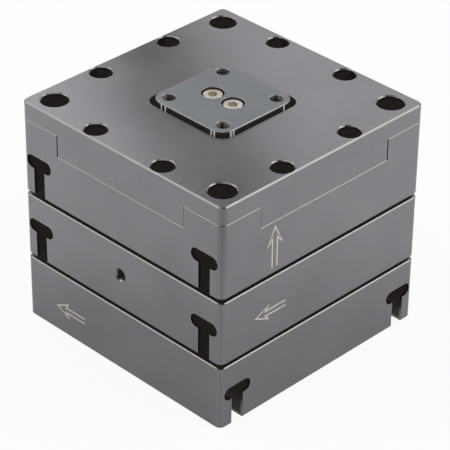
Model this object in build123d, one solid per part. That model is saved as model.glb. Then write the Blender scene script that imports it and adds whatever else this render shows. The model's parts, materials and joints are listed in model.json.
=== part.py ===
"""Three-axis piezo stage: two lateral modules and a lift module stacked with a small gap.

Frame: +Z up, origin at the centre of the bottom face. The face at -Y is the front.
The bottom module moves along X, the middle one along Y and the top one along Z.
Each module is drawn about its own bottom centre and is then put in its place.
The heights of the modules are built up from the layers inside them.
"""

from build123d import *
import os

# Outer shape of the modules
side = 60.0
corner_radius = 1.5
edge_break = 0.2
seam_break = 0.1

# The moving platforms stand proud by this much, which is also the gap between modules
platform_proud = 0.9
platform_side = 22.0
platform_radius = 3.4
platform_clearance = 0.8
opening_radius = 3.0

# T-slots for the table screws, and the access holes above their four ends
slot_edge_distance = 5.0
slot_stem_width = 3.3
slot_ledge_height = 6.5
slot_head_width = 7.6
slot_head_height = 3.1
access_diameter = 6.0
access_break = 0.25

# Walls of the pocket that holds the mechanism
slot_pocket_wall = 2.7
end_wall = 5.0
floor_thickness = 3.0

# M3 thread, for the holes of the lift platform and the preload screws
m3_diameter = 3.0
m3_pitch = 0.5
m3_set_screw_key = 1.5
tapped_break = 0.4

# M2.5 thread, for the screws that join the modules, the lift cover and the lift platform
m25_diameter = 2.5
m25_pitch = 0.45
m25_clearance = 0.2
m25_head_radius = 2.25
m25_head_height = 2.5
m25_head_clearance = 0.25
m25_key = 2.0
m25_socket_depth = 1.2
m25_counterbore_break = 0.1

# M1.6 thread, for the lateral covers
m16_diameter = 1.6
m16_pitch = 0.35
m16_clearance = 0.05
m16_head_radius = 1.5
m16_head_height = 1.0
m16_head_clearance = 0.1
m16_head_sunk = 0.1
m16_key = 0.9
m16_socket_depth = 0.6

screw_head_break = 0.2
thread_clearance = 0.03
screw_tip_gap = 0.25

# Platform holes and the stacking screws that go into them
platform_hole_margin = 3.0
platform_hole_spare = 1.2
stacking_screw_length = 6.0
stacking_seat_thickness = 1.2

# Piezo drive: preload screw, seat, stack, tip and strain gauge
preload_screw_length = 6.0
preload_screw_sunk = 2.0
seat_width = 6.0
seat_thickness = 1.5
piezo_width = 5.0
tip_plate_thickness = 1.2
tip_nose_length = 0.7
tip_clearance = 0.03
nose_contact_half = 1.0
nose_contact_width = 0.6
gauge_width = 2.0
gauge_length = 8.0
gauge_thickness = 0.1

# Lever amplifiers and their flexure necks
lever_ratio = 5.0
lever_thickness = 4.0
neck_thickness = 0.4
neck_length = 0.8
contact_clearance = 0.02

# Carriages and their leaf springs
leaf_thickness = 0.4
leaf_length = 5.5
strut_room = 2.43
tunnel_side_gap = 1.3

# Layers of a lateral module, from its floor up
lateral_lever_floor_gap = 2.1
lateral_lever_height = 6.0
lateral_tunnel_headroom = 0.8
lateral_carriage_roof = 1.5
cover_underside_clearance = 0.4
lateral_cover_thickness = 2.0

# Rest of a lateral module
lateral_cover_land = 0.4
lateral_cover_end_land = 3.0
lateral_cover_radius = 2.0
lateral_cover_fit = 0.05
lateral_cover_screw_rim = 0.2
lateral_cover_screw_margin = 3.0
lateral_cover_screw_length = 3.4
carriage_head_gap = 0.9
leaf_end_margin = 0.8
leaf_top_gap = 0.3
strut_margin = 2.4
lateral_lever_overhang = 1.8
lever_inner_gap = 0.6
fulcrum_margin = 2.0

# Cable grommets
grommet_radius = 1.5
grommet_bore_radius = 1.0
grommet_fit = 0.03
lateral_grommet_y = 17.0
lateral_grommet_wall = 0.6
lift_grommet_x = 12.0
lift_grommet_height = 8.0

# Layers of the lift module, from its floor up
lift_arm_floor_gap = 0.6
lift_arm_height = 2.3
lift_arm_carriage_gap = 0.5
lift_piezo_rise = 0.6
lift_tunnel_headroom = 0.6
lift_carriage_roof = 3.9
lift_platform_web = 0.4

# Rest of the lift module
lift_cover_thickness = 4.3
lift_skirt_depth = 9.4
lift_skirt_thickness = 7.0
lift_corner_post_width = 10.95
lift_slit_width = 0.2
lift_slit_uneven = 0.13
lift_cover_edge_break = 0.3
cover_screw_margin = 3.0
cover_screw_along = 10.0
cover_screw_length = 5.0
cover_screw_land = 0.4
cover_screw_tip_gap = 0.12
platform_screw_offset = 3.0
platform_screw_sunk = 0.4
platform_screw_length = 6.0
lift_leaf_half_width = 8.0
lift_leaf_edge = 0.6
lift_leaf_land = 0.2
lift_arm_half_width = 2.4
lift_lever_half_width = 4.0
lift_lever_top_gap = 0.1
crossbar_half_length = 7.0
crossbar_half_width = 1.5
lift_strut_half_width = 1.3

# Room that a cut runs past the face it opens
over = 1.0

# Radii of the threads, drawn at the root, and of the holes round the screws
m3_tapped_radius = (m3_diameter - m3_pitch) / 2
m25_tapped_radius = (m25_diameter - m25_pitch) / 2
m25_clear_radius = m25_diameter / 2 + m25_clearance
m25_counterbore_radius = m25_head_radius + m25_head_clearance
m16_tapped_radius = (m16_diameter - m16_pitch) / 2
m16_clear_radius = m16_diameter / 2 + m16_clearance
m16_counterbore_radius = m16_head_radius + m16_head_clearance

# Places in plan that several pieces share
half_side = side / 2
slot_offset = half_side - slot_edge_distance
slot_top = slot_ledge_height + slot_head_height
access_radius = access_diameter / 2
pocket_half_x = slot_offset - slot_head_width / 2 - slot_pocket_wall
pocket_half_y = half_side - end_wall
opening_side = platform_side + 2 * platform_clearance
platform_hole_place = platform_side / 2 - platform_hole_margin
platform_hole_depth = stacking_screw_length - stacking_seat_thickness + platform_hole_spare
piezo_half = piezo_width / 2
tunnel_half_width = piezo_half + tunnel_side_gap
carriage_half_x = pocket_half_x - leaf_length
carriage_half_y = platform_side / 2

# The piezo drive along Y: the seat follows the wall, and the tip follows the lever
seat_outer = half_side - preload_screw_sunk - preload_screw_length
piezo_outer = seat_outer - seat_thickness
lever_front = carriage_half_y + strut_room
lever_back = lever_front + lever_thickness
boss_front = lever_back + neck_length
nose_end = lever_front - tip_clearance
nose_start = nose_end - tip_nose_length
piezo_inner = nose_start - tip_plate_thickness

# Heights in a lateral module
lateral_lever_bottom = floor_thickness + lateral_lever_floor_gap
lateral_lever_top = lateral_lever_bottom + lateral_lever_height
lateral_piezo_height = (lateral_lever_bottom + lateral_lever_top) / 2
lateral_tunnel_top = lateral_piezo_height + piezo_half + lateral_tunnel_headroom
lateral_carriage_bottom = stacking_seat_thickness + m25_head_height + carriage_head_gap
lateral_carriage_top = lateral_tunnel_top + lateral_carriage_roof
lateral_cover_bottom = lateral_carriage_top + cover_underside_clearance
lateral_height = lateral_cover_bottom + lateral_cover_thickness

# Heights in the lift module
lift_arm_bottom = floor_thickness + lift_arm_floor_gap
lift_arm_top = lift_arm_bottom + lift_arm_height
lift_carriage_bottom = lift_arm_top + lift_arm_carriage_gap
lift_piezo_height = lift_carriage_bottom + lift_piezo_rise + piezo_half
lift_tunnel_top = lift_piezo_height + piezo_half + lift_tunnel_headroom
lift_platform_bottom = lift_tunnel_top + lift_carriage_roof
lift_platform_top = lift_platform_bottom + lift_platform_web + platform_hole_depth
lift_height = lift_platform_top - platform_proud
lift_post_top = lift_height - lift_cover_thickness
lift_wall_top = lift_height - lift_skirt_depth


def block(x0, x1, y0, y1, z0, z1):
    """Box between two opposite corners."""
    centre = ((x0 + x1) / 2, (y0 + y1) / 2, (z0 + z1) / 2)
    return Pos(*centre) * Box(x1 - x0, y1 - y0, z1 - z0)


def rounded_plate(width, depth, radius, z0, z1):
    """Upright plate with rounded corners."""
    return Pos(0, 0, z0) * extrude(RectangleRounded(width, depth, radius), z1 - z0)


def post(x, y, z0, z1, radius):
    """Upright cylinder."""
    return Pos(x, y, (z0 + z1) / 2) * Cylinder(radius, z1 - z0)


def along_y(x, z, y0, y1, radius):
    """Cylinder along Y."""
    return Pos(x, (y0 + y1) / 2, z) * Rot(90, 0, 0) * Cylinder(radius, y1 - y0)


def along_x(y, z, x0, x1, radius):
    """Cylinder along X."""
    return Pos((x0 + x1) / 2, y, z) * Rot(0, 90, 0) * Cylinder(radius, x1 - x0)


def grid(across, along):
    """The four points at plus and minus each offset."""
    return [(x, y) for x in (-across, across) for y in (-along, along)]


def hole(x, y, top, bottom, radius, rim=0.0):
    """Upright hole to cut, with a countersunk rim where one is given."""
    cut = post(x, y, bottom, top + over, radius)
    if rim > 0:
        cut += Pos(x, y, top - rim / 2) * Cone(radius, radius + rim, rim)
    return cut


def hexagon(key):
    """Hexagon measured across its flats."""
    return RegularPolygon(key / 2, 6, major_radius=False)


def cap_screw(thread_radius, head_radius, head_height, key, socket_depth, length, head_break=0.0):
    """Socket head screw that stands on its seat at the origin, its shank drawn at the thread's root."""
    head = post(0, 0, 0, head_height, head_radius)
    if head_break > 0:
        head = chamfer(head.edges().sort_by(Axis.Z)[-1], head_break)
    socket = Pos(0, 0, head_height - socket_depth) * extrude(hexagon(key), socket_depth)
    shank = post(0, 0, -length, 0, thread_radius - thread_clearance)
    return head + shank - socket


def set_screw(thread_radius, key, length):
    """Headless screw with its socket end at the origin, running down."""
    body = post(0, 0, -length, 0, thread_radius - thread_clearance)
    socket = Pos(0, 0, -key) * extrude(hexagon(key), key)
    return body - socket


def at_places(piece, places, height):
    """One group of equal pieces at the same height."""
    return Compound([Pos(x, y, height) * piece for x, y in places])


def t_slot(x):
    """T-slot along Y to cut: an open stem below a head with round ends."""
    middle = slot_ledge_height + slot_head_height / 2
    stem = block(x - slot_stem_width / 2, x + slot_stem_width / 2, -side, side, -over, middle)
    profile = Plane.XZ * Pos(x, middle) * SlotOverall(slot_head_width, slot_head_height)
    return stem + extrude(profile, side, both=True)


def module_block(height, top_break):
    """Outer block of a module with its corner rounding, T-slots, pocket and stacking holes."""
    shell = rounded_plate(side, side, corner_radius, 0, height)
    ends = shell.faces().sort_by(Axis.Z)
    shell = chamfer(ends[0].edges(), edge_break)
    shell = chamfer(shell.faces().sort_by(Axis.Z)[-1].edges(), top_break)
    shell -= t_slot(-slot_offset)
    shell -= t_slot(slot_offset)
    shell -= block(
        -pocket_half_x, pocket_half_x, -pocket_half_y, pocket_half_y, floor_thickness, height + over
    )
    for x, y in grid(platform_hole_place, platform_hole_place):
        shell -= post(x, y, -over, floor_thickness, m25_clear_radius)
        shell -= post(x, y, stacking_seat_thickness, floor_thickness + over, m25_counterbore_radius)
    for x, y in grid(slot_offset, slot_offset):
        shell -= hole(x, y, height, slot_top - slot_head_height / 2, access_radius)
    return shell


def platform_opening(bottom, top):
    """Opening in a cover that leaves the platform free all round."""
    return rounded_plate(opening_side, opening_side, opening_radius, bottom - over, top + over)


def platform_slab(bottom, top):
    """Square platform with rounded corners."""
    slab = rounded_plate(platform_side, platform_side, platform_radius, bottom, top)
    return chamfer(slab.faces().sort_by(Axis.Z)[-1].edges(), edge_break)


def platform_holes(top, radius, rim=0.0):
    """A platform's four tapped holes to cut."""
    bottom = top - platform_hole_depth
    places = grid(platform_hole_place, platform_hole_place)
    return [hole(x, y, top, bottom, radius, rim) for x, y in places]


def stacking_screws():
    """Screws through the floor of a module into the platform below it."""
    screw = cap_screw(
        m25_tapped_radius, m25_head_radius, m25_head_height, m25_key, m25_socket_depth,
        stacking_screw_length,
    )
    return at_places(screw, grid(platform_hole_place, platform_hole_place), stacking_seat_thickness)


def piezo_train(height):
    """Piezo drive along Y: screw at the -Y wall, seat, stack with its gauge, and moving tip."""
    nose_half = nose_contact_half + nose_contact_width / 2
    seat_half = seat_width / 2
    gauge_half = gauge_width / 2
    low = height - piezo_half
    high = height + piezo_half
    screw = set_screw(m3_tapped_radius, m3_set_screw_key, preload_screw_length)
    screw = Pos(0, preload_screw_sunk - half_side, height) * Rot(90, 0, 0) * screw
    seat = block(-seat_half, seat_half, -seat_outer, -piezo_outer, height - seat_half, height + seat_half)
    stack = block(-piezo_half, piezo_half, -piezo_outer, piezo_inner, low, high)
    tip = block(-piezo_half, piezo_half, piezo_inner, nose_start, low, high)
    tip += block(-nose_half, nose_half, nose_start, nose_end, height - nose_half, height + nose_half)
    gauge = block(-gauge_half, gauge_half, -gauge_length, 0, high, high + gauge_thickness)
    return {
        "preload_screw": screw,
        "piezo_seat": seat,
        "piezo_stack": stack,
        "piezo_tip": tip,
        "strain_gauge": gauge,
    }


def grommet(length):
    """Cable grommet that fills its hole flush with the face, along -Z from the origin."""
    ring = post(0, 0, -length, 0, grommet_radius - grommet_fit)
    return ring - post(0, 0, -length - over, over, grommet_bore_radius)


def lateral_module():
    """Module that moves along -Y, with two mirrored levers behind its carriage."""
    cover_half_x = slot_offset - access_radius - lateral_cover_land
    cover_half_y = half_side - lateral_cover_end_land
    cover_screw_places = grid(
        cover_half_x - m16_counterbore_radius - lateral_cover_screw_rim,
        cover_half_y - lateral_cover_screw_margin,
    )
    cover_screw_seat = lateral_height - m16_head_sunk - m16_head_height
    grommet_height = slot_top + lateral_grommet_wall + grommet_radius

    # Both lever arms share one pivot, so its place follows from the ratio
    out_x = carriage_half_x - strut_margin
    pivot_x = (nose_contact_half * lever_ratio + out_x) / (lever_ratio + 1)

    body = module_block(lateral_height, edge_break)
    body -= rounded_plate(
        2 * (cover_half_x + lateral_cover_fit), 2 * (cover_half_y + lateral_cover_fit),
        lateral_cover_radius, lateral_cover_bottom, lateral_height + over,
    )
    for x, y in cover_screw_places:
        tip = cover_screw_seat - lateral_cover_screw_length - screw_tip_gap
        body -= post(x, y, tip, lateral_cover_bottom, m16_tapped_radius)
    body -= along_y(0, lateral_piezo_height, -half_side, -pocket_half_y, m3_tapped_radius)
    body -= Pos(0, tapped_break / 2 - half_side, lateral_piezo_height) * Rot(90, 0, 0) * Cone(
        m3_tapped_radius, m3_tapped_radius + tapped_break, tapped_break
    )
    body -= along_x(lateral_grommet_y, grommet_height, -half_side, -pocket_half_x, grommet_radius)
    boss_half = pivot_x + fulcrum_margin
    body += block(-boss_half, boss_half, boss_front, pocket_half_y, floor_thickness, lateral_lever_top)
    for x in (-pivot_x, pivot_x):
        body += block(
            x - neck_thickness / 2, x + neck_thickness / 2,
            lever_back + contact_clearance, boss_front, lateral_lever_bottom, lateral_lever_top,
        )

    cover = rounded_plate(
        2 * cover_half_x, 2 * cover_half_y, lateral_cover_radius, lateral_cover_bottom, lateral_height
    )
    cover -= platform_opening(lateral_cover_bottom, lateral_height)
    for x, y in cover_screw_places:
        cover -= hole(x, y, lateral_height, lateral_cover_bottom - over, m16_clear_radius)
        cover -= hole(x, y, lateral_height, cover_screw_seat, m16_counterbore_radius)
    cover_screw = cap_screw(
        m16_tapped_radius, m16_head_radius, m16_head_height, m16_key, m16_socket_depth,
        lateral_cover_screw_length,
    )

    carriage = block(
        -carriage_half_x, carriage_half_x, -carriage_half_y, carriage_half_y,
        lateral_carriage_bottom, lateral_carriage_top,
    )
    carriage -= block(
        -tunnel_half_width, tunnel_half_width, -carriage_half_y - over, carriage_half_y + over,
        lateral_carriage_bottom - over, lateral_tunnel_top,
    )
    platform_top = lateral_height + platform_proud
    carriage += platform_slab(lateral_carriage_top, platform_top)
    for cut in platform_holes(platform_top, m25_tapped_radius):
        carriage -= cut
    for x in (-out_x, out_x):
        carriage += block(
            x - neck_thickness / 2, x + neck_thickness / 2,
            carriage_half_y, lever_front - contact_clearance, lateral_lever_bottom, lateral_lever_top,
        )

    leaf_place = carriage_half_y - leaf_end_margin
    leaf = block(
        carriage_half_x, pocket_half_x, leaf_place - leaf_thickness / 2, leaf_place + leaf_thickness / 2,
        lateral_carriage_bottom, lateral_carriage_top - leaf_top_gap,
    )
    pair = [leaf, mirror(leaf, Plane.XZ)]
    leaves = pair + [mirror(piece, Plane.YZ) for piece in pair]

    lever = block(
        lever_inner_gap / 2, out_x + lateral_lever_overhang, lever_front, lever_back,
        lateral_lever_bottom, lateral_lever_top,
    )

    pieces = {
        "body": body,
        "cover": cover,
        "cover_screws": at_places(cover_screw, cover_screw_places, cover_screw_seat),
        "carriage": carriage,
        "leaf_springs": Compound(leaves),
        "lever_right": lever,
        "lever_left": mirror(lever, Plane.YZ),
        "cable_grommet": Pos(-half_side, lateral_grommet_y, grommet_height) * Rot(0, -90, 0) * grommet(
            half_side - cover_half_x
        ),
    }
    pieces.update(piezo_train(lateral_piezo_height))
    return pieces


def skirt_tab(half_width, shift):
    """Part of the lift cover's skirt that hangs into the notch of the -Y face, with a broken lower edge."""
    tab = block(
        shift - half_width, shift + half_width, -half_side, lift_skirt_thickness - half_side,
        lift_wall_top, lift_post_top + seam_break,
    )
    lower_edge = tab.edges().sort_by_distance((shift, -half_side, lift_wall_top))[0]
    return chamfer(lower_edge, seam_break)


def lift_leaves(height):
    """Pair of flat leaf springs between the lift carriage and the side walls."""
    leaf = block(
        carriage_half_x, pocket_half_x, -lift_leaf_half_width, lift_leaf_half_width,
        height, height + leaf_thickness,
    )
    return Compound([leaf, mirror(leaf, Plane.YZ)])


def lift_module():
    """Module that moves up, with a bell crank under its carriage."""
    pivot_height = lift_piezo_height - lever_back / lever_ratio
    lever_top = lift_piezo_height + piezo_half - lift_lever_top_gap
    notch = half_side - lift_corner_post_width
    cover_screw_across = half_side - cover_screw_margin
    cover_screw_places = grid(cover_screw_along, cover_screw_across) + grid(
        cover_screw_across, cover_screw_along
    )
    cover_screw_tip = slot_top + cover_screw_land
    cover_screw_seat = cover_screw_tip + cover_screw_length

    body = module_block(lift_post_top, seam_break)
    body -= block(-notch, notch, -side, side, lift_wall_top, lift_post_top + over)
    body -= block(-side, side, -notch, notch, lift_wall_top, lift_post_top + over)
    for x, y in ((0, -half_side), (half_side, 0), (0, half_side), (-half_side, 0)):
        wall_edge = body.edges().sort_by_distance((x, y, lift_wall_top))[0]
        body = chamfer(wall_edge, seam_break)
    for x, y in cover_screw_places:
        body -= post(x, y, cover_screw_tip - cover_screw_tip_gap, lift_wall_top + over, m25_tapped_radius)
    body -= along_y(0, lift_piezo_height, pocket_half_y, half_side, m3_tapped_radius)
    body -= along_y(lift_grommet_x, lift_grommet_height, pocket_half_y, half_side, grommet_radius)
    body += block(
        -lift_lever_half_width, lift_lever_half_width, -pocket_half_y, -boss_front,
        floor_thickness, lever_top,
    )
    body += block(
        -lift_lever_half_width, lift_lever_half_width, -boss_front, -lever_back - contact_clearance,
        pivot_height - neck_thickness / 2, pivot_height + neck_thickness / 2,
    )

    cover = rounded_plate(side, side, corner_radius, lift_post_top, lift_height)
    cover = chamfer(cover.faces().sort_by(Axis.Z)[-1].edges(), lift_cover_edge_break)
    cover = chamfer(cover.faces().sort_by(Axis.Z)[0].edges(), seam_break)
    tab_half = notch - lift_slit_width
    for turn, shift in enumerate((1, -1, 1, -1)):
        cover += Rot(0, 0, 90 * turn) * skirt_tab(tab_half, shift * lift_slit_uneven)
    cover -= platform_opening(lift_post_top, lift_height)
    for x, y in grid(slot_offset, slot_offset):
        cover -= hole(x, y, lift_height, lift_post_top - over, access_radius, access_break)
    for x, y in cover_screw_places:
        cover -= hole(x, y, lift_height, lift_wall_top - over, m25_clear_radius)
        cover -= hole(x, y, lift_height, cover_screw_seat, m25_counterbore_radius, access_break)
    cover_screw = cap_screw(
        m25_tapped_radius, m25_head_radius, m25_head_height, m25_key, m25_socket_depth, cover_screw_length
    )

    platform = platform_slab(lift_platform_bottom, lift_platform_top)
    for cut in platform_holes(lift_platform_top, m3_tapped_radius, tapped_break):
        platform -= cut
    carriage = block(
        -carriage_half_x, carriage_half_x, -carriage_half_y, carriage_half_y,
        lift_carriage_bottom, lift_platform_bottom,
    )
    carriage -= block(
        -tunnel_half_width, tunnel_half_width, -carriage_half_y - over, carriage_half_y + over,
        lift_carriage_bottom - over, lift_tunnel_top,
    )
    platform_screw_places = [(-platform_screw_offset, 0), (platform_screw_offset, 0)]
    platform_screw_seat = lift_platform_top - platform_screw_sunk - m25_head_height
    for x, y in platform_screw_places:
        platform -= hole(x, y, lift_platform_top, lift_platform_bottom - over, m25_clear_radius)
        platform -= hole(
            x, y, lift_platform_top, platform_screw_seat, m25_counterbore_radius, m25_counterbore_break
        )
        tip = platform_screw_seat - platform_screw_length - screw_tip_gap
        carriage -= post(x, y, tip, lift_platform_bottom + over, m25_tapped_radius)
    strut_x = (crossbar_half_length + tunnel_half_width) / 2
    for x in (-strut_x, strut_x):
        carriage += block(
            x - lift_strut_half_width, x + lift_strut_half_width, -neck_thickness / 2, neck_thickness / 2,
            lift_arm_top + contact_clearance, lift_carriage_bottom,
        )
    platform_screw = cap_screw(
        m25_tapped_radius, m25_head_radius, m25_head_height, m25_key, m25_socket_depth,
        platform_screw_length, screw_head_break,
    )

    lever = block(
        -lift_lever_half_width, lift_lever_half_width, -lever_back, -lever_front, lift_arm_bottom, lever_top
    )
    lever += block(
        -lift_arm_half_width, lift_arm_half_width, -lever_front, crossbar_half_width,
        lift_arm_bottom, lift_arm_top,
    )
    lever += block(
        -crossbar_half_length, crossbar_half_length, -crossbar_half_width, crossbar_half_width,
        lift_arm_bottom, lift_arm_top,
    )

    pieces = {
        "body": body,
        "cover": cover,
        "cover_screws": at_places(cover_screw, cover_screw_places, cover_screw_seat),
        "platform": platform,
        "platform_screws": at_places(platform_screw, platform_screw_places, platform_screw_seat),
        "carriage": carriage,
        "lower_leaf_springs": lift_leaves(lift_carriage_bottom + lift_leaf_edge),
        "upper_leaf_springs": lift_leaves(lift_wall_top - lift_leaf_land - leaf_thickness),
        "lever": lever,
        "cable_grommet": Pos(lift_grommet_x, half_side, lift_grommet_height) * Rot(-90, 0, 0) * grommet(
            end_wall
        ),
    }
    for name, piece in piezo_train(lift_piezo_height).items():
        pieces[name] = Rot(0, 0, 180) * piece
    return pieces


def placed(prefix, pieces, height, turn):
    """A module's pieces turned about the vertical, lifted to their height and named."""
    return {
        f"{prefix}_{name}": Pos(0, 0, height) * Rot(0, 0, turn) * piece
        for name, piece in pieces.items()
    }


module_pitch = lateral_height + platform_proud
lateral = lateral_module()
lift = lift_module()
nodes = placed("x", lateral, 0, -90)
nodes.update(placed("y", lateral, module_pitch, 0))
nodes.update(placed("z", lift, 2 * module_pitch, 0))
nodes["y_stacking_screws"] = Pos(0, 0, module_pitch) * stacking_screws()
nodes["z_stacking_screws"] = Pos(0, 0, 2 * module_pitch) * stacking_screws()

os.makedirs("parts", exist_ok=True)
for name, shape in nodes.items():
    export_step(shape, f"parts/{name}.step")
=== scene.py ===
import bmesh
import bpy
import json
import math
from mathutils import Matrix, Vector

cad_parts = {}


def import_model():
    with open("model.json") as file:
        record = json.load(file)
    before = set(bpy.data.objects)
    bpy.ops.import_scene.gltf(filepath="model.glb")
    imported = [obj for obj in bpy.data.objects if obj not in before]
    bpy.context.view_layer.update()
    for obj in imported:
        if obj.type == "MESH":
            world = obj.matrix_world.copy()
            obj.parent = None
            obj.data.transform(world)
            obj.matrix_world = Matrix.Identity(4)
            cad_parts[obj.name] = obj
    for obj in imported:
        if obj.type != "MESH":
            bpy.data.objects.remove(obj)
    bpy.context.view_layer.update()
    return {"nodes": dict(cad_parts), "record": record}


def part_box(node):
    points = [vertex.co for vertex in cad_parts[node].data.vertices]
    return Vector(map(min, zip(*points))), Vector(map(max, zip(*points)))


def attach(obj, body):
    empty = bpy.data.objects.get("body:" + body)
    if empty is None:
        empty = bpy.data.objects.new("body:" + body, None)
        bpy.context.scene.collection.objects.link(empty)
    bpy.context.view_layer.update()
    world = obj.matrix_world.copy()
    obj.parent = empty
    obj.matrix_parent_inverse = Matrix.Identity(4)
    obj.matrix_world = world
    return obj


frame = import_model()

# Lengths are in metres, and those that come from a drawing are written in millimetres
MM = 0.001

# Heights of the object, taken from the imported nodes
HALF_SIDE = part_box("x_body")[1].x
LIFT_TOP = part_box("z_cover")[1].z
PLATFORM_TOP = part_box("z_platform")[1].z
MIDDLE_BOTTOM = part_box("y_body")[0].z
LIFT_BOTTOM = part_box("z_body")[0].z

# Camera: where it looks, from which side and how far off
CAMERA_TARGET = Vector((1.104, 0.0, 23.88)) * MM
CAMERA_AZIMUTH = math.radians(44.641)
CAMERA_ELEVATION = math.radians(32.942)
CAMERA_ROLL = math.radians(0.7172)
CAMERA_DISTANCE = 510.34 * MM
CAMERA_LENS = 187.97

# M3 thread in the tapped holes; the half widths of its ridge are shares of the pitch
THREAD_PITCH = 0.5 * MM
THREAD_CREST_RADIUS = 1.13 * MM
THREAD_ROOT_RADIUS = 1.26 * MM
THREAD_START = 0.45 * MM
THREAD_STEPS = 28
THREAD_CREST_HALF = 0.07
THREAD_ROOT_HALF = 0.42
PLATFORM_THREAD_LENGTH = 4.8 * MM
PRELOAD_THREAD_LENGTH = 1.3 * MM
HOLE_PLACE = 8.0 * MM
LATERAL_PRELOAD_HEIGHT = 8.1 * MM
LIFT_PRELOAD_HEIGHT = 9.5 * MM

# Studio: light that reaches the object from all round, and how much of the floor is plain white
WORLD_LIGHT = 0.75
FLOOR_COLOUR = (0.85, 0.85, 0.85, 1.0)
FLOOR_WHITE_SEEN = 0.92
FLOOR_WHITE_MIRRORED = 0.5
# Painted shade in the floor's reflections: darker towards the camera's side and near the object
FLOOR_FAR = 120.0 * MM
FLOOR_FAR_LEVEL = 0.35
CONTACT_NEAR = 38.0 * MM
CONTACT_FAR = 90.0 * MM
CONTACT_LEVEL = 0.66
CARD_HEIGHT = 128.0 * MM
CARD_SETBACK = 124.0 * MM
CARD_LENGTH = 400.0 * MM
SOFTBOX_SIZE = 0.9

# Anodising of the modules and of the platform, the tone of its broken edges, and the painted shade and
# painted glow of its recesses
MODULE_COLOUR = (0.25, 0.24, 0.257)
MODULE_EDGE = (0.2, 0.19, 0.18)
PLATFORM_COLOUR = (0.238, 0.25, 0.264)
PLATFORM_EDGE = (0.24, 0.25, 0.26)
PAINTED_RECESS_SHADE_COLOUR = (0.03, 0.024, 0.024)
PAINTED_RECESS_GLOW_COLOUR = (1.0, 0.8, 0.8, 1.0)

# Strength of the painted glow: the recesses give a faint light of their own, in place of the lift off
# full black that the lens gives
PAINTED_RECESS_GLOW = 0.014

# Painted highlights on the platform's walls, standing in for the reflections where its corners begin:
# the axis along the wall and the place in millimetres
PAINTED_WALL_HIGHLIGHTS = (
    ("X", -7.2), ("X", -6.0), ("X", 7.6), ("X", 8.4),
    ("Y", 7.1), ("Y", -7.8), ("Y", -8.5),
)
PAINTED_HIGHLIGHT_COLOUR = (0.8, 0.8, 0.8)
HIGHLIGHT_FULL = 0.12 * MM
HIGHLIGHT_END = 0.3 * MM

# Direction arrows: an outline with an open tail, its lines laid on the face
ARROW_LINE = 0.36 * MM
ARROW_PROUD = 0.005 * MM
ARROW_SUNK = 0.02 * MM


def add(tree, kind, inputs=None, **settings):
    """Adds a node, with its settings and with each named input linked or set."""
    node = tree.nodes.new(kind)
    for key, value in settings.items():
        setattr(node, key, value)
    for key, value in (inputs or {}).items():
        if isinstance(value, bpy.types.NodeSocket):
            tree.links.new(value, node.inputs[key])
        else:
            node.inputs[key].default_value = value
    return node


def math_node(tree, operation, first, second=0.0):
    """Result of a Math node."""
    return add(tree, "ShaderNodeMath", {0: first, 1: second}, operation=operation).outputs[0]


def remap(tree, value, low, high, out_low, out_high, kind="LINEAR"):
    """Value mapped from one range to another, clamped."""
    return add(
        tree, "ShaderNodeMapRange",
        {"Value": value, "From Min": low, "From Max": high, "To Min": out_low, "To Max": out_high},
        interpolation_type=kind,
    ).outputs["Result"]


def blend_colour(tree, factor, first, second):
    """Mix of two colours."""
    node = add(tree, "ShaderNodeMix", data_type="RGBA")
    for socket, value in zip((node.inputs[0], node.inputs[6], node.inputs[7]), (factor, first, second)):
        if isinstance(value, bpy.types.NodeSocket):
            tree.links.new(value, socket)
        elif isinstance(value, tuple):
            socket.default_value = (*value, 1.0)
        else:
            socket.default_value = value
    return node.outputs[2]


def noise(tree, place, scale, detail=2.0, roughness=0.5):
    """Noise value at a place, with its scale in features per metre."""
    return add(
        tree, "ShaderNodeTexNoise",
        {"Vector": place, "Scale": scale, "Detail": detail, "Roughness": roughness},
    ).outputs[0]


def new_material(name):
    """Material with its node tree, its shader and the object's own coordinates."""
    material = bpy.data.materials.new(name)
    material.use_nodes = True
    tree = material.node_tree
    place = add(tree, "ShaderNodeTexCoord").outputs["Object"]
    return material, tree, tree.nodes["Principled BSDF"], place


def depth_group():
    """Node group that tells how far a point lies inside the outer faces of the stack below a top."""
    group = bpy.data.node_groups.new("depth inside", "ShaderNodeTree")
    group.interface.new_socket("Top", in_out="INPUT", socket_type="NodeSocketFloat")
    group.interface.new_socket("Depth", in_out="OUTPUT", socket_type="NodeSocketFloat")
    top = group.nodes.new("NodeGroupInput").outputs[0]
    place = add(group, "ShaderNodeTexCoord").outputs["Object"]
    parts = add(group, "ShaderNodeSeparateXYZ", {0: place}).outputs
    inside_x = math_node(group, "SUBTRACT", HALF_SIDE, math_node(group, "ABSOLUTE", parts["X"]))
    inside_y = math_node(group, "SUBTRACT", HALF_SIDE, math_node(group, "ABSOLUTE", parts["Y"]))
    inside_z = math_node(group, "SUBTRACT", top, parts["Z"])
    nearest = math_node(group, "MINIMUM", math_node(group, "MINIMUM", inside_x, inside_y), inside_z)
    nearest = math_node(group, "MINIMUM", nearest, parts["Z"])
    out = group.nodes.new("NodeGroupOutput")
    group.links.new(nearest, out.inputs[0])
    return group


DEPTH = depth_group()


def bump(tree, shader, height, distance, strength=1.0):
    """Gives a shader fine relief."""
    node = add(tree, "ShaderNodeBump", {"Height": height, "Distance": distance, "Strength": strength})
    tree.links.new(node.outputs[0], shader.inputs["Normal"])


def edge_mask(tree):
    """1 on the small slanted faces of broken upper and lower edges and of hole rims, 0 elsewhere."""
    normal = add(tree, "ShaderNodeTexCoord").outputs["Normal"]
    parts = add(tree, "ShaderNodeSeparateXYZ", {0: normal}).outputs
    level = add(
        tree, "ShaderNodeVectorMath", {0: normal, 1: (1.0, 1.0, 0.0)}, operation="MULTIPLY",
    ).outputs[0]
    across = add(tree, "ShaderNodeVectorMath", {0: level}, operation="LENGTH").outputs["Value"]
    slant = math_node(tree, "MULTIPLY", across, math_node(tree, "ABSOLUTE", parts["Z"]))
    return remap(tree, slant, 0.35, 0.48, 0.0, 1.0)


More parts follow.
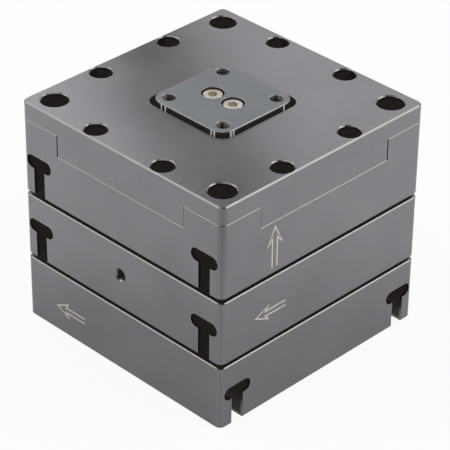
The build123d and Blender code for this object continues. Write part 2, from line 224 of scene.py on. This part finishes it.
def wall_highlight_mask(tree, place):
    """1 on the thin upright painted highlights on the platform's walls, where its corners begin."""
    normal = add(tree, "ShaderNodeTexCoord").outputs["Normal"]
    rise = add(tree, "ShaderNodeSeparateXYZ", {0: normal}).outputs["Z"]
    wall = remap(tree, math_node(tree, "ABSOLUTE", rise), 0.2, 0.4, 1.0, 0.0)
    parts = add(tree, "ShaderNodeSeparateXYZ", {0: place}).outputs
    total = 0.0
    for axis, centre in PAINTED_WALL_HIGHLIGHTS:
        off = math_node(tree, "ABSOLUTE", math_node(tree, "SUBTRACT", parts[axis], centre * MM))
        highlight = remap(tree, off, HIGHLIGHT_FULL, HIGHLIGHT_END, 1.0, 0.0)
        total = math_node(tree, "MAXIMUM", total, highlight)
    return math_node(tree, "MULTIPLY", wall, total)


def anodised(name, colour, edge_colour, roughness, top, recess_shade_start, recess_shade_end, painted_highlights=False):
    """Satin anodising: soft mottles, fine grain, rare specks, toned edges, painted shade and a faint
    painted glow in recesses, and optional painted highlights on the walls.
    """
    material, tree, shader, place = new_material(name)
    mottle = noise(tree, place, 60.0, 3.0, 0.6)
    cloud = noise(tree, place, 420.0, 3.0, 0.65)
    grain = noise(tree, place, 5200.0, 2.0, 0.6)
    dark = tuple(0.95 * v for v in colour)
    light = tuple(1.05 * v for v in colour)
    surface = blend_colour(tree, remap(tree, mottle, 0.35, 0.65, 0.0, 1.0), dark, light)
    pale = tuple(1.15 * v for v in colour)
    surface = blend_colour(tree, remap(tree, cloud, 0.55, 0.75, 0.0, 0.4), surface, pale)

    cells = add(tree, "ShaderNodeTexVoronoi", {"Vector": place, "Scale": 190.0})
    speck = remap(tree, cells.outputs["Distance"], 0.012, 0.03, 0.6, 0.0)
    tone = add(tree, "ShaderNodeSeparateXYZ", {0: cells.outputs["Color"]}).outputs["X"]
    speck_colour = blend_colour(
        tree, math_node(tree, "GREATER_THAN", tone, 0.5), (0.06, 0.06, 0.06), (0.5, 0.47, 0.44)
    )
    surface = blend_colour(tree, speck, surface, speck_colour)

    edge = math_node(tree, "MULTIPLY", edge_mask(tree), remap(tree, cloud, 0.35, 0.6, 0.6, 1.0))
    surface = blend_colour(tree, edge, surface, edge_colour)

    # Painted shade: the colour goes near black with depth inside the outer faces, where shade falls in
    # holes and slots
    depth = add(tree, "ShaderNodeGroup", node_tree=DEPTH)
    depth.inputs[0].default_value = top
    painted_recess_mask = remap(tree, depth.outputs[0], recess_shade_start, recess_shade_end, 0.0, 1.0, "SMOOTHSTEP")
    surface = blend_colour(tree, painted_recess_mask, surface, PAINTED_RECESS_SHADE_COLOUR)
    shader.inputs["Metallic"].default_value = 1.0
    # Painted highlights: bright streaks drawn in the colour of the platform's walls, with the metal
    # turned off on them
    if painted_highlights:
        highlight = wall_highlight_mask(tree, place)
        surface = blend_colour(tree, highlight, surface, PAINTED_HIGHLIGHT_COLOUR)
        tree.links.new(math_node(tree, "SUBTRACT", 1.0, highlight), shader.inputs["Metallic"])
    tree.links.new(surface, shader.inputs["Base Color"])
    # Painted glow: the recesses give a faint light of their own
    shader.inputs["Emission Color"].default_value = PAINTED_RECESS_GLOW_COLOUR
    tree.links.new(math_node(tree, "MULTIPLY", painted_recess_mask, PAINTED_RECESS_GLOW), shader.inputs["Emission Strength"])
    tree.links.new(
        remap(tree, mottle, 0.3, 0.7, roughness - 0.03, roughness + 0.03), shader.inputs["Roughness"]
    )
    bump(tree, shader, grain, 0.002 * MM, 0.3)
    return material


def steel(name, colour, roughness, metallic=1.0):
    """Plain steel with a fine worked surface."""
    material, tree, shader, place = new_material(name)
    stains = noise(tree, place, 700.0, 4.0, 0.6)
    fine = noise(tree, place, 9000.0, 2.0, 0.6)
    worn = tuple(0.82 * v for v in colour)
    tree.links.new(
        blend_colour(tree, remap(tree, stains, 0.35, 0.65, 0.0, 1.0), worn, colour),
        shader.inputs["Base Color"],
    )
    tree.links.new(
        remap(tree, stains, 0.3, 0.7, roughness - 0.05, roughness + 0.07), shader.inputs["Roughness"]
    )
    shader.inputs["Metallic"].default_value = metallic
    bump(tree, shader, fine, 0.002 * MM, 0.4)
    return material


def machined():
    """Bare aluminium with the fine parallel lines of wire cutting."""
    material, tree, shader, place = new_material("machined aluminium")
    lines = add(
        tree, "ShaderNodeTexWave", {"Vector": place, "Scale": 4000.0, "Distortion": 2.0},
        bands_direction="X",
    ).outputs[1]
    surface = blend_colour(tree, lines, (0.66, 0.66, 0.67), (0.76, 0.76, 0.77))
    tree.links.new(surface, shader.inputs["Base Color"])
    shader.inputs["Metallic"].default_value = 1.0
    shader.inputs["Roughness"].default_value = 0.4
    bump(tree, shader, lines, 0.002 * MM, 0.5)
    return material


def ceramic():
    """Lacquered piezo stack with its fine layers."""
    material, tree, shader, place = new_material("piezo ceramic")
    layers = add(
        tree, "ShaderNodeTexWave", {"Vector": place, "Scale": 1500.0, "Distortion": 0.4},
        bands_direction="Y",
    ).outputs[1]
    surface = blend_colour(tree, layers, (0.42, 0.30, 0.14), (0.55, 0.42, 0.22))
    tree.links.new(surface, shader.inputs["Base Color"])
    shader.inputs["Roughness"].default_value = 0.35
    shader.inputs["Coat Weight"].default_value = 0.4
    return material


def foil():
    """Gauge film with its metal grid."""
    material, tree, shader, place = new_material("gauge foil")
    grid = add(
        tree, "ShaderNodeTexWave", {"Vector": place, "Scale": 1600.0}, bands_direction="X",
    ).outputs[1]
    line = math_node(tree, "GREATER_THAN", grid, 0.6)
    surface = blend_colour(tree, line, (0.75, 0.42, 0.1), (0.35, 0.33, 0.3))
    tree.links.new(surface, shader.inputs["Base Color"])
    tree.links.new(line, shader.inputs["Metallic"])
    shader.inputs["Roughness"].default_value = 0.3
    return material


def rubber():
    """Black moulded rubber."""
    material, tree, shader, place = new_material("black rubber")
    cloud = noise(tree, place, 900.0, 3.0)
    surface = blend_colour(tree, cloud, (0.01, 0.01, 0.01), (0.022, 0.022, 0.022))
    tree.links.new(surface, shader.inputs["Base Color"])
    shader.inputs["Roughness"].default_value = 0.65
    bump(tree, shader, noise(tree, place, 6000.0), 0.01 * MM, 0.4)
    return material


def marking():
    """Pale laser marking, a little uneven."""
    material, tree, shader, place = new_material("laser marking")
    cloud = noise(tree, place, 2500.0, 3.0, 0.7)
    share = remap(tree, cloud, 0.35, 0.65, 0.0, 1.0)
    surface = blend_colour(tree, share, (0.5, 0.46, 0.44), (0.66, 0.61, 0.58))
    tree.links.new(surface, shader.inputs["Base Color"])
    shader.inputs["Roughness"].default_value = 0.6
    return material


def finishes():
    """One material for each material slot of the record."""
    return {
        "anodised_aluminium": anodised(
            "anodised aluminium", MODULE_COLOUR, MODULE_EDGE, 0.24,
            LIFT_TOP, 0.2 * MM, 1.0 * MM,
        ),
        "machined_aluminium": machined(),
        "spring_steel": steel("spring steel", (0.5, 0.5, 0.5), 0.3),
        "bright_steel": steel("bright steel", (0.8, 0.75, 0.66), 0.3),
        "black_steel": steel("black steel", (0.03, 0.03, 0.032), 0.4, 0.6),
        "piezo_ceramic": ceramic(),
        "gauge_foil": foil(),
        "black_rubber": rubber(),
    }


def dress_nodes(materials):
    """Gives every CAD node the finish of its material slot."""
    slots = {part["node"]: part["material_slot"] for part in frame["record"]["subparts"]}
    for name, node in frame["nodes"].items():
        node.data.materials.clear()
        node.data.materials.append(materials[slots[name]])


def mesh_piece(name, vertices, faces, material, body):
    """Piece with flat faces made from points, riding on a body."""
    mesh = bpy.data.meshes.new(name)
    mesh.from_pydata(vertices, [], faces)
    shape = bmesh.new()
    shape.from_mesh(mesh)
    bmesh.ops.recalc_face_normals(shape, faces=shape.faces)
    shape.to_mesh(mesh)
    shape.free()
    mesh.materials.append(material)
    for face in mesh.polygons:
        face.use_smooth = False
    piece = bpy.data.objects.new(name, mesh)
    bpy.context.collection.objects.link(piece)
    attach(piece, body)
    return piece


def ribbon(points, width):
    """Left and right points of a line of even width with mitred bends, in a plane."""
    left = []
    right = []
    for i, point in enumerate(points):
        before = (point - points[i - 1]).normalized() if i > 0 else None
        after = (points[i + 1] - point).normalized() if i < len(points) - 1 else None
        along = ((before or after) + (after or before)).normalized()
        across = Vector((-along.y, along.x))
        edge = before or after
        reach = width / 2 / max(across.dot(Vector((-edge.y, edge.x))), 0.35)
        left.append(point + across * reach)
        right.append(point - across * reach)
    return left, right


def arrow(name, tip, heading, normal, body, head_length, head_half, neck, shaft_half, length, material):
    """Outline arrow with an open tail, flat on the face that has the given normal."""
    side = heading.cross(normal)
    half = [
        Vector((-length, shaft_half)), Vector((-neck, shaft_half)), Vector((-head_length, head_half)),
    ]
    outline = half + [Vector((0.0, 0.0))] + [Vector((p.x, -p.y)) for p in reversed(half)]
    left, right = ribbon(outline, ARROW_LINE)
    vertices = []
    for lift in (ARROW_PROUD, -ARROW_SUNK):
        for point in left + right:
            vertices.append(tip + heading * point.x + side * point.y + normal * lift)
    count = len(outline)
    low = 2 * count
    faces = []
    for i in range(count - 1):
        faces.append((i, i + 1, count + i + 1, count + i))
        faces.append((low + i, low + count + i, low + count + i + 1, low + i + 1))
        faces.append((i, low + i, low + i + 1, i + 1))
        faces.append((count + i, count + i + 1, low + count + i + 1, low + count + i))
    for i in (0, count - 1):
        faces.append((i, count + i, low + count + i, low + i))
    return mesh_piece(name, vertices, faces, material, body)


def thread(name, mouth, inward, length, material, body):
    """Thread ridge that winds down a tapped hole from its mouth."""
    turns = length / THREAD_PITCH
    total = int(turns * THREAD_STEPS)
    turn = inward.to_track_quat("Z", "Y").to_matrix()
    profile = (
        (THREAD_ROOT_RADIUS, -THREAD_ROOT_HALF), (THREAD_CREST_RADIUS, -THREAD_CREST_HALF),
        (THREAD_CREST_RADIUS, THREAD_CREST_HALF), (THREAD_ROOT_RADIUS, THREAD_ROOT_HALF),
    )
    vertices = []
    faces = []
    for i in range(total + 1):
        angle = 2 * math.pi * i / THREAD_STEPS
        for radius, offset in profile:
            local = Vector((
                radius * math.cos(angle), radius * math.sin(angle),
                THREAD_START + THREAD_PITCH * (0.5 + i / THREAD_STEPS + offset),
            ))
            vertices.append(mouth + turn @ local)
    ring = len(profile)
    for i in range(total):
        for k in range(ring):
            a = i * ring + k
            b = i * ring + (k + 1) % ring
            faces.append((a, b, b + ring, a + ring))
    faces.append(tuple(range(ring)))
    faces.append(tuple(total * ring + k for k in reversed(range(ring))))
    return mesh_piece(name, vertices, faces, material, body)


def arrows(material):
    """The three generic arrows that show how each module moves."""
    front = Vector((0.0, -1.0, 0.0))
    right = Vector((1.0, 0.0, 0.0))
    arrow(
        "arrow_bottom", Vector((-20.4, -30.0, 6.5)) * MM, Vector((-1.0, 0.0, 0.0)), front, "base",
        head_length=3.4 * MM, head_half=1.65 * MM, neck=2.8 * MM,
        shaft_half=0.6 * MM, length=8.8 * MM, material=material,
    )
    arrow(
        "arrow_middle", Vector((30.0, -19.9, 23.3)) * MM, Vector((0.0, -1.0, 0.0)), right, "x_stage",
        head_length=3.6 * MM, head_half=1.65 * MM, neck=2.7 * MM,
        shaft_half=0.6 * MM, length=8.7 * MM, material=material,
    )
    arrow(
        "arrow_top", Vector((30.0, -14.8, 43.6)) * MM, Vector((0.0, 0.0, 1.0)), right, "y_stage",
        head_length=4.2 * MM, head_half=2.1 * MM, neck=2.7 * MM,
        shaft_half=0.7 * MM, length=9.7 * MM, material=material,
    )


def threads(material):
    """Threads in the platform's four holes and in the three preload holes."""
    down = Vector((0.0, 0.0, -1.0))
    for i, (x, y) in enumerate(((-1, -1), (1, -1), (1, 1), (-1, 1))):
        mouth = Vector((x * HOLE_PLACE, y * HOLE_PLACE, PLATFORM_TOP))
        thread(f"platform_thread_{i + 1}", mouth, down, PLATFORM_THREAD_LENGTH, material, "z_stage")
    thread(
        "x_preload_thread", Vector((-HALF_SIDE, 0.0, LATERAL_PRELOAD_HEIGHT)),
        Vector((1.0, 0.0, 0.0)), PRELOAD_THREAD_LENGTH, material, "base",
    )
    thread(
        "y_preload_thread", Vector((0.0, -HALF_SIDE, MIDDLE_BOTTOM + LATERAL_PRELOAD_HEIGHT)),
        Vector((0.0, 1.0, 0.0)), PRELOAD_THREAD_LENGTH, material, "x_stage",
    )
    thread(
        "z_preload_thread", Vector((0.0, HALF_SIDE, LIFT_BOTTOM + LIFT_PRELOAD_HEIGHT)),
        Vector((0.0, -1.0, 0.0)), PRELOAD_THREAD_LENGTH, material, "y_stage",
    )


def viewer(elevation):
    """Direction from the object towards the camera's side, at an elevation."""
    return Vector((
        math.sin(CAMERA_AZIMUTH) * math.cos(elevation),
        -math.cos(CAMERA_AZIMUTH) * math.cos(elevation),
        math.sin(elevation),
    ))


def shade_along(tree, place, direction, near, far, near_value, far_value):
    """Value that changes smoothly with how far a place lies along a direction."""
    reach = add(tree, "ShaderNodeVectorMath", {0: place, 1: direction}, operation="DOT_PRODUCT")
    return remap(tree, reach.outputs["Value"], near, far, near_value, far_value, "SMOOTHSTEP")


def glossy_only(tree, path, value):
    """The value for glossy rays, and 1 for all other rays."""
    less = math_node(tree, "SUBTRACT", 1.0, value)
    return math_node(tree, "SUBTRACT", 1.0, math_node(tree, "MULTIPLY", path["Is Glossy Ray"], less))


def floor():
    """Pale floor that reads as white and keeps the shadow, with painted shade in its reflections:
    darker near the object and towards the camera's side.
    """
    mesh = bpy.data.meshes.new("floor")
    shape = bmesh.new()
    bmesh.ops.create_grid(shape, x_segments=1, y_segments=1, size=2.0)
    shape.to_mesh(mesh)
    shape.free()
    material = bpy.data.materials.new("floor")
    material.use_nodes = True
    tree = material.node_tree
    shader = tree.nodes["Principled BSDF"]
    shader.inputs["Base Color"].default_value = FLOOR_COLOUR
    shader.inputs["Roughness"].default_value = 0.9
    shader.inputs["Specular IOR Level"].default_value = 0.0
    path = add(tree, "ShaderNodeLightPath").outputs
    place = add(tree, "ShaderNodeTexCoord").outputs["Object"]
    # Painted shade: in reflections the floor's white fades towards the camera's side and near the
    # object
    painted_floor_shade = shade_along(tree, place, viewer(0.0), 0.0, FLOOR_FAR, 1.0, FLOOR_FAR_LEVEL)
    away = add(tree, "ShaderNodeVectorMath", {0: place}, operation="LENGTH").outputs["Value"]
    painted_contact_shade = remap(tree, away, CONTACT_NEAR, CONTACT_FAR, CONTACT_LEVEL, 1.0, "SMOOTHSTEP")
    painted_floor_shade = math_node(tree, "MULTIPLY", painted_floor_shade, painted_contact_shade)
    white = add(tree, "ShaderNodeEmission", {"Strength": glossy_only(tree, path, painted_floor_shade)})
    seen = math_node(tree, "MAXIMUM", path["Is Camera Ray"], path["Is Transmission Ray"])
    glossy = math_node(tree, "MULTIPLY", path["Is Glossy Ray"], FLOOR_WHITE_MIRRORED)
    factor = math_node(tree, "MAXIMUM", math_node(tree, "MULTIPLY", seen, FLOOR_WHITE_SEEN), glossy)
    mix = add(tree, "ShaderNodeMixShader", {0: factor, 1: shader.outputs[0], 2: white.outputs[0]})
    tree.links.new(mix.outputs[0], tree.nodes["Material Output"].inputs["Surface"])
    mesh.materials.append(material)
    ground = bpy.data.objects.new("floor", mesh)
    bpy.context.collection.objects.link(ground)


def world():
    """Even soft light from all round, a white background, and a dark room behind the camera."""
    sky = bpy.data.worlds.new("studio")
    bpy.context.scene.world = sky
    sky.use_nodes = True
    tree = sky.node_tree
    background = tree.nodes["Background"]
    path = add(tree, "ShaderNodeLightPath").outputs
    seen = math_node(tree, "MAXIMUM", path["Is Camera Ray"], path["Is Glossy Ray"])
    seen = math_node(tree, "MAXIMUM", seen, path["Is Transmission Ray"])
    strength = remap(tree, seen, 0.0, 1.0, WORLD_LIGHT, 1.0)
    place = add(tree, "ShaderNodeTexCoord").outputs["Generated"]
    room = shade_along(tree, place, viewer(math.radians(50.0)), 0.5, 0.85, 1.0, 0.02)
    strength = math_node(tree, "MULTIPLY", strength, glossy_only(tree, path, room))
    tree.links.new(strength, background.inputs["Strength"])
    background.inputs["Color"].default_value = (1.0, 1.0, 1.0, 1.0)


def card(name, centre, along, across, width, strength):
    """Long studio card above the object, seen only in reflections."""
    corners = [
        centre + along * (i * CARD_LENGTH / 2) + across * (j * width / 2)
        for i, j in ((-1, -1), (1, -1), (1, 1), (-1, 1))
    ]
    mesh = bpy.data.meshes.new(name)
    mesh.from_pydata(corners, [], [(0, 1, 2, 3)])
    material = bpy.data.materials.new(name)
    material.use_nodes = True
    tree = material.node_tree
    glow = add(tree, "ShaderNodeEmission", {"Strength": strength})
    tree.links.new(glow.outputs[0], tree.nodes["Material Output"].inputs["Surface"])
    mesh.materials.append(material)
    board = bpy.data.objects.new(name, mesh)
    bpy.context.collection.objects.link(board)
    board.visible_camera = False
    board.visible_diffuse = False
    board.visible_transmission = False
    board.visible_shadow = False


def cards():
    """Two cards over the back left, which give the top face its light corner and its dark band."""
    along = Vector((0.88, -0.475, 0.0))
    across = Vector((0.475, 0.88, 0.0))
    middle = Vector((0.0, 0.0, CARD_HEIGHT)) - along * CARD_SETBACK
    card("dark card", middle + across * (25.0 * MM), along, across, 26.0 * MM, 0.3)
    card("light card", middle + across * (-38.0 * MM), along, across, 80.0 * MM, 1.3)


def softbox(name, place, power):
    """Square soft white lamp that faces the object."""
    lamp = bpy.data.lights.new(name, "AREA")
    lamp.size = SOFTBOX_SIZE
    lamp.energy = power
    holder = bpy.data.objects.new(name, lamp)
    holder.location = place
    holder.rotation_euler = (place - CAMERA_TARGET).to_track_quat("Z", "Y").to_euler()
    bpy.context.collection.objects.link(holder)


def camera():
    """Camera at the photograph's angle."""
    right = Vector((math.cos(CAMERA_AZIMUTH), math.sin(CAMERA_AZIMUTH), 0.0))
    back = viewer(CAMERA_ELEVATION)
    up = back.cross(right)
    turned_right = right * math.cos(CAMERA_ROLL) + up * math.sin(CAMERA_ROLL)
    turned_up = up * math.cos(CAMERA_ROLL) - right * math.sin(CAMERA_ROLL)
    lens = bpy.data.cameras.new("camera")
    lens.lens = CAMERA_LENS
    holder = bpy.data.objects.new("camera", lens)
    turn = Matrix((turned_right, turned_up, back)).transposed().to_4x4()
    holder.matrix_world = Matrix.Translation(CAMERA_TARGET + back * CAMERA_DISTANCE) @ turn
    bpy.context.collection.objects.link(holder)
    bpy.context.scene.camera = holder


materials = finishes()
dress_nodes(materials)
frame["nodes"]["z_platform"].data.materials[0] = anodised(
    "platform anodising", PLATFORM_COLOUR, PLATFORM_EDGE, 0.45,
    PLATFORM_TOP, 0.1 * MM, 0.3 * MM, painted_highlights=True,
)
arrows(marking())
# Painted shade: the threads get a near-black finish for the dark inside of the tapped holes
threads(steel("tapped thread in painted shade", (0.06, 0.06, 0.062), 0.35, 0.8))

floor()
world()
cards()
softbox("left softbox", Vector((-0.8, -0.7, 0.9)), 3.0)
softbox("right softbox", Vector((0.8, 0.7, 0.9)), 5.0)
camera()

scene = bpy.context.scene
scene.view_settings.view_transform = "Standard"
